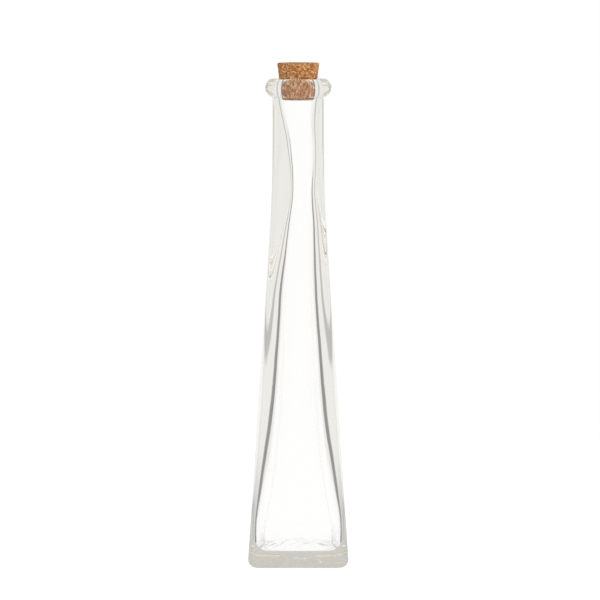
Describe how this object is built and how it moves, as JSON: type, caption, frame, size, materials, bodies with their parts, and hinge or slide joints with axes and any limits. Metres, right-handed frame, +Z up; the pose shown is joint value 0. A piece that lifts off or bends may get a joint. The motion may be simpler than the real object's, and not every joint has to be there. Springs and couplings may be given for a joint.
{
  "type": "glass bottle with cork stopper",
  "caption": "Tall slim clear glass bottle, a four-sided pyramid below a round neck with a bead lip, closed with a tapered cork.",
  "frame": {"origin": "centre of the foot, on the surface that the bottle stands on", "axes": "+Z up along the bottle's axis; X and Y square to its flat sides; the front faces -Y"},
  "size_m": [0.0524, 0.0524, 0.2624],
  "materials": {
    "glass": "clear, gloss",
    "cork": "matt agglomerated cork"
  },
  "bodies": {
    "root": {"bottle": "glass", "cork": "cork"}
  },
  "joints": []
}
